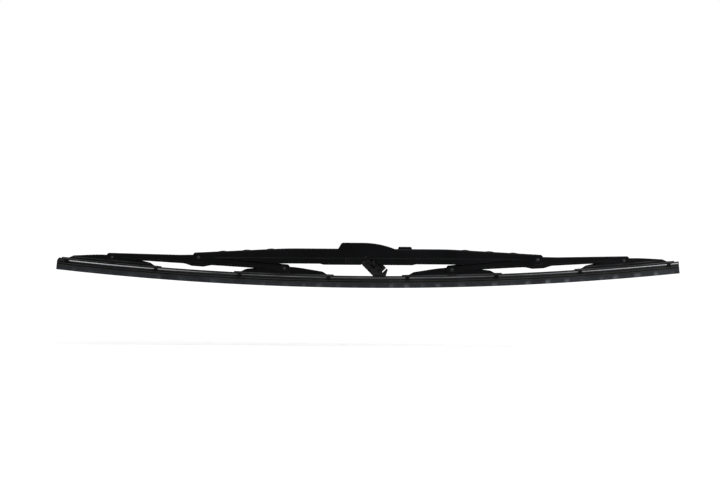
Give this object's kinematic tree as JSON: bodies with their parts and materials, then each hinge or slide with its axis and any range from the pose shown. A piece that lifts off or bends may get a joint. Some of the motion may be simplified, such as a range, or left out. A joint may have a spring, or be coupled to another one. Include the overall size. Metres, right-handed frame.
{
  "type": "wiper blade",
  "caption": "Framed wiper blade: a long curved rubber lip carried by nested pressed-steel levers, with a raised middle and a clip for a hook arm.",
  "frame": {"origin": "on the axis of the adapter pin, at mid blade, where the arm's hook holds the blade", "axes": "+X along the blade, +Y across it, +Z away from the glass"},
  "size_m": [0.6488, 0.0164, 0.047],
  "materials": {
    "bracket_paint": "satin black paint",
    "rivet_steel": "darkened rivet",
    "spring_steel": "rolled spring strip",
    "wiper_rubber": "matt, graphite dusted",
    "adapter_plastic": "moulded, fine grain",
    "liner_plastic": "moulded"
  },
  "bodies": {
    "bridge": {"main_bracket": "bracket_paint", "adapter_pin": "bracket_paint", "main_rivet_left": "rivet_steel", "main_rivet_right": "rivet_steel", "wiper_rubber": "wiper_rubber", "flexor_front": "spring_steel", "flexor_back": "spring_steel"},
    "adapter": {"hook_adapter": "adapter_plastic"},
    "secondary_left": {"secondary_lever_left": "bracket_paint", "main_liner_left": "liner_plastic", "claw_rivet_left_outer": "rivet_steel", "claw_rivet_left_inner": "rivet_steel"},
    "claw_left_outer": {"claw_lever_left_outer": "bracket_paint", "claw_liner_left_outer": "liner_plastic"},
    "claw_left_inner": {"claw_lever_left_inner": "bracket_paint", "claw_liner_left_inner": "liner_plastic"},
    "secondary_right": {"secondary_lever_right": "bracket_paint", "main_liner_right": "liner_plastic", "claw_rivet_right_outer": "rivet_steel", "claw_rivet_right_inner": "rivet_steel"},
    "claw_right_outer": {"claw_lever_right_outer": "bracket_paint", "claw_liner_right_outer": "liner_plastic"},
    "claw_right_inner": {"claw_lever_right_inner": "bracket_paint", "claw_liner_right_inner": "liner_plastic"}
  },
  "joints": [
    {"name": "adapter_swing", "type": "hinge", "parent": "bridge", "child": "adapter", "pos_m": [0, 0, 0], "axis": [0, -1, 0], "range_deg": [0, 45]},
    {"name": "secondary_left_pivot", "type": "hinge", "parent": "bridge", "child": "secondary_left", "pos_m": [-0.17625, 0, -0.00261], "axis": [0, -1, 0], "range_deg": [-2, 2], "stiffness_Nm_per_rad": 1.5, "deforming": ["wiper_rubber", "flexor_front", "flexor_back"]},
    {"name": "claw_left_outer_pivot", "type": "hinge", "parent": "secondary_left", "child": "claw_left_outer", "pos_m": [-0.26601, 0, -0.00296], "axis": [0, -1, 0], "range_deg": [-2, 2], "stiffness_Nm_per_rad": 0.8, "deforming": ["wiper_rubber", "flexor_front", "flexor_back"]},
    {"name": "claw_left_inner_pivot", "type": "hinge", "parent": "secondary_left", "child": "claw_left_inner", "pos_m": [-0.08715, 0, -0.01344], "axis": [0, 1, 0], "range_deg": [-2, 2], "stiffness_Nm_per_rad": 0.8, "deforming": ["wiper_rubber", "flexor_front", "flexor_back"]},
    {"name": "secondary_right_pivot", "type": "hinge", "parent": "bridge", "child": "secondary_right", "pos_m": [0.17625, 0, -0.00261], "axis": [0, 1, 0], "range_deg": [-2, 2], "stiffness_Nm_per_rad": 1.5, "deforming": ["wiper_rubber", "flexor_front", "flexor_back"]},
    {"name": "claw_right_outer_pivot", "type": "hinge", "parent": "secondary_right", "child": "claw_right_outer", "pos_m": [0.26601, 0, -0.00296], "axis": [0, 1, 0], "range_deg": [-2, 2], "stiffness_Nm_per_rad": 0.8, "deforming": ["wiper_rubber", "flexor_front", "flexor_back"]},
    {"name": "claw_right_inner_pivot", "type": "hinge", "parent": "secondary_right", "child": "claw_right_inner", "pos_m": [0.08715, 0, -0.01344], "axis": [0, -1, 0], "range_deg": [-2, 2], "stiffness_Nm_per_rad": 0.8, "deforming": ["wiper_rubber", "flexor_front", "flexor_back"]}
  ]
}
